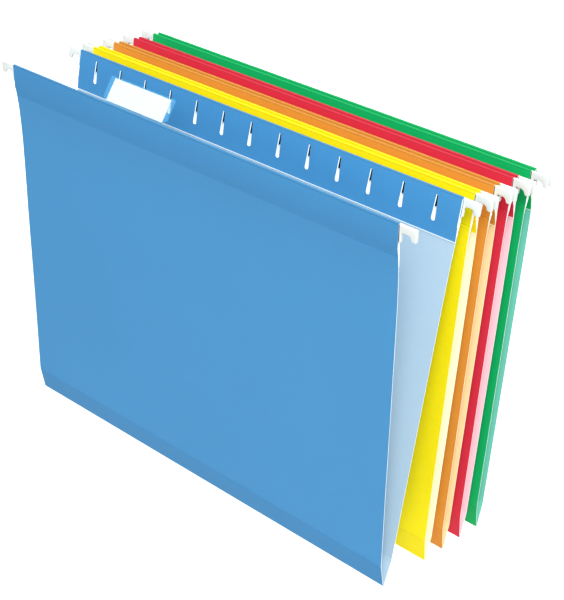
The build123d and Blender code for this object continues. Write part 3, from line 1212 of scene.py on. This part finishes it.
# %% Label finish
BOND_CLOUD_SIZE = 2.5 * MM
BOND_DEPTH = 0.02 * MM
BOND_STRENGTH = 0.1
BOND_GREY, BOND_WHITE = "#F6F7F6", "#FFFFFF"
BOND_ROUGHNESS = 0.75


def bond_paper_finish():
    """White bond paper: bright and matt, faintly cloudy."""
    finish, tree, shader = new_finish("white_bond_paper")
    place = add_node(tree, "ShaderNodeTexCoord").outputs["Object"]
    cloud = add_node(
        tree,
        "ShaderNodeTexNoise",
        {"Vector": place, "Scale": per_size(BOND_CLOUD_SIZE), "Detail": FINE_DETAIL},
    )
    tone = add_node(
        tree,
        "ShaderNodeMix",
        {"Factor": cloud.outputs["Fac"], "A": linear(BOND_GREY), "B": linear(BOND_WHITE)},
        data_type="RGBA",
    )
    relief = add_node(
        tree,
        "ShaderNodeBump",
        {"Height": cloud.outputs["Fac"], "Strength": BOND_STRENGTH, "Distance": BOND_DEPTH},
    )
    looks = {
        "Base Color": tone.outputs["Result"],
        "Normal": relief.outputs["Normal"],
        "Roughness": BOND_ROUGHNESS,
    }
    fill_inputs(tree, shader, looks)
    return finish


bond_paper = bond_paper_finish()
dress_node("blue_label_insert", bond_paper)
print("made", bond_paper.name)

# %% [markdown]
# ## Floor and world
# The folders hang in plain bright studio light over a pale floor. A dim white world lights every side
# evenly. A backdrop could be bent up behind them, but a wide floor alone looks the same from every side.
# It is well below the folders, so they throw almost no shadow on it.

# %% Set the floor and the world
FLOOR_LEVEL = -0.75
FLOOR_SIZE = 30.0
FLOOR_TONE = "#E4E4E4"
FLOOR_ROUGHNESS = 0.9
WORLD_TONE = "#FFFFFF"
WORLD_STRENGTH = 0.55

start_piece()
bpy.ops.mesh.primitive_plane_add(size=FLOOR_SIZE, location=(0, 0, FLOOR_LEVEL))
floor = name_piece("floor")
floor_finish, floor_tree, floor_shader = new_finish("pale_studio_floor")
fill_inputs(floor_tree, floor_shader, {"Base Color": linear(FLOOR_TONE), "Roughness": FLOOR_ROUGHNESS})
floor.data.materials.append(floor_finish)

world = bpy.data.worlds.new("white_studio")
world.use_nodes = True
background = world.node_tree.nodes["Background"]
fill_inputs(world.node_tree, background, {"Color": linear(WORLD_TONE), "Strength": WORLD_STRENGTH})
bpy.context.scene.world = world
bpy.context.scene.view_settings.view_transform = "Standard"
print("floor at", in_mm(FLOOR_LEVEL), "mm, world", WORLD_STRENGTH)

# %% [markdown]
# ## Lights
# A large soft light in front on the right gives the faces their tone, and one above lights the folds and
# the open mouth. A third one hangs over the floor behind and lights it up to white, and its grid keeps it
# off the folders. Small lamps would throw hard shadows between the leaves, so all three are broad
# squares. Places and sizes are in metres, powers in watts and spreads in degrees.

# %% Set the lights
FOLDER_MIDDLE = (0.0, 0.0, -0.1)
FLOOR_BEHIND = (-1.1, 2.4, FLOOR_LEVEL)


def soft_light(name, place, aim, size, power, spread):
    """A square studio light that looks at a point, with a grid that narrows its beam to a spread."""
    data = bpy.data.lights.new(name, "AREA")
    data.shape = "SQUARE"
    data.size = size
    data.energy = power
    data.spread = math.radians(spread)
    light = bpy.data.objects.new(name, data)
    light.location = place
    light.rotation_euler = (Vector(aim) - Vector(place)).to_track_quat("-Z", "Y").to_euler()
    bpy.context.scene.collection.objects.link(light)


soft_light("key_light", place=(1.2, -1.2, 1.3), aim=FOLDER_MIDDLE, size=1.4, power=11.5, spread=60)
soft_light("top_light", place=(0.0, 0.1, 1.6), aim=FOLDER_MIDDLE, size=1.2, power=14.0, spread=120)
soft_light("floor_light", place=(-1.1, 2.4, 1.4), aim=FLOOR_BEHIND, size=3.0, power=60.0, spread=70)
print("lights", [light.name for light in bpy.data.lights])
